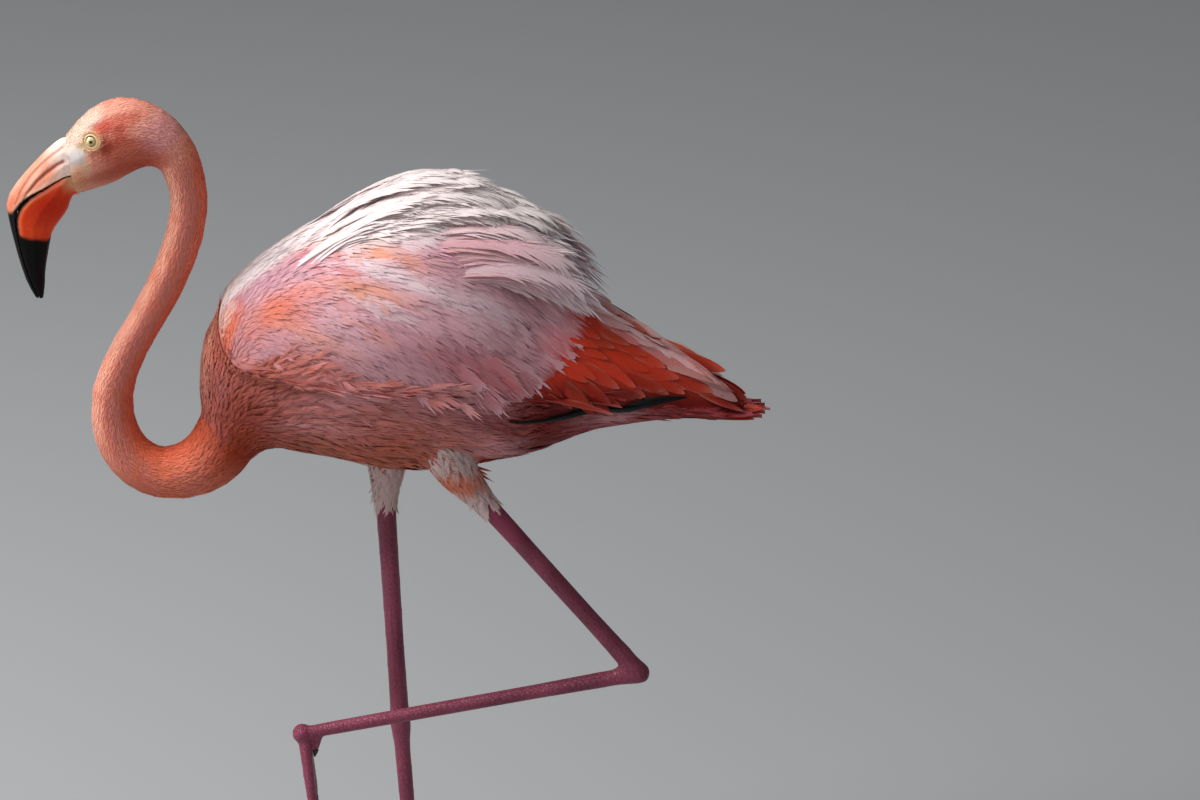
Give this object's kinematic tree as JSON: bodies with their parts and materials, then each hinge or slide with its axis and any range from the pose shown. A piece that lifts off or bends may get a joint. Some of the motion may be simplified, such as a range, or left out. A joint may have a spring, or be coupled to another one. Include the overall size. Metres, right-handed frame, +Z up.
{
  "type": "american flamingo, still model",
  "caption": "Life-size still model of a wading American flamingo: it stands on its right leg, the left one swung forward, neck let down in a deep S.",
  "frame": {"origin": "on the floor, in the sole of the standing foot, under its middle toe and under the bird's centre of mass", "axes": "+Z up, -X where the bird looks, -Y its left side"},
  "size_m": [0.605, 0.1662, 0.8335],
  "materials": {
    "head_feathers": "short velvety feathers, salmon",
    "body_feathers": "soft body feathers, pink with coral",
    "wing_feathers": "long smooth feathers, pale pink",
    "flight_feathers": "stiff smooth feathers, coral red",
    "bill_horn": "satin horn, orange with a black tip",
    "eyes": "wet gloss, pale yellow iris, dark pupil",
    "leg_skin": "scaly skin, dark pink",
    "claws": "dark horn"
  },
  "bodies": {
    "root": {"head": "head_feathers", "neck_nape": "head_feathers", "neck_upper": "head_feathers", "neck_middle": "head_feathers", "neck_bend": "head_feathers", "neck_base": "head_feathers", "trunk": "body_feathers", "bill_upper": "bill_horn", "bill_lower": "bill_horn", "tail": "flight_feathers", "eye_left": "eyes", "wing_left": "wing_feathers", "flight_left": "flight_feathers", "scapulars_left": "wing_feathers", "eye_right": "eyes", "wing_right": "wing_feathers", "flight_right": "flight_feathers", "scapulars_right": "wing_feathers", "thigh_right": "body_feathers", "shank_right": "leg_skin", "ankle_right": "leg_skin", "tarsus_right": "leg_skin", "foot_right": "leg_skin", "claw_outer_right": "claws", "claw_middle_right": "claws", "claw_inner_right": "claws", "claw_hind_right": "claws", "thigh_left": "body_feathers", "shank_left": "leg_skin", "ankle_left": "leg_skin", "tarsus_left": "leg_skin", "foot_left": "leg_skin", "claw_outer_left": "claws", "claw_middle_left": "claws", "claw_inner_left": "claws", "claw_hind_left": "claws"}
  },
  "joints": []
}
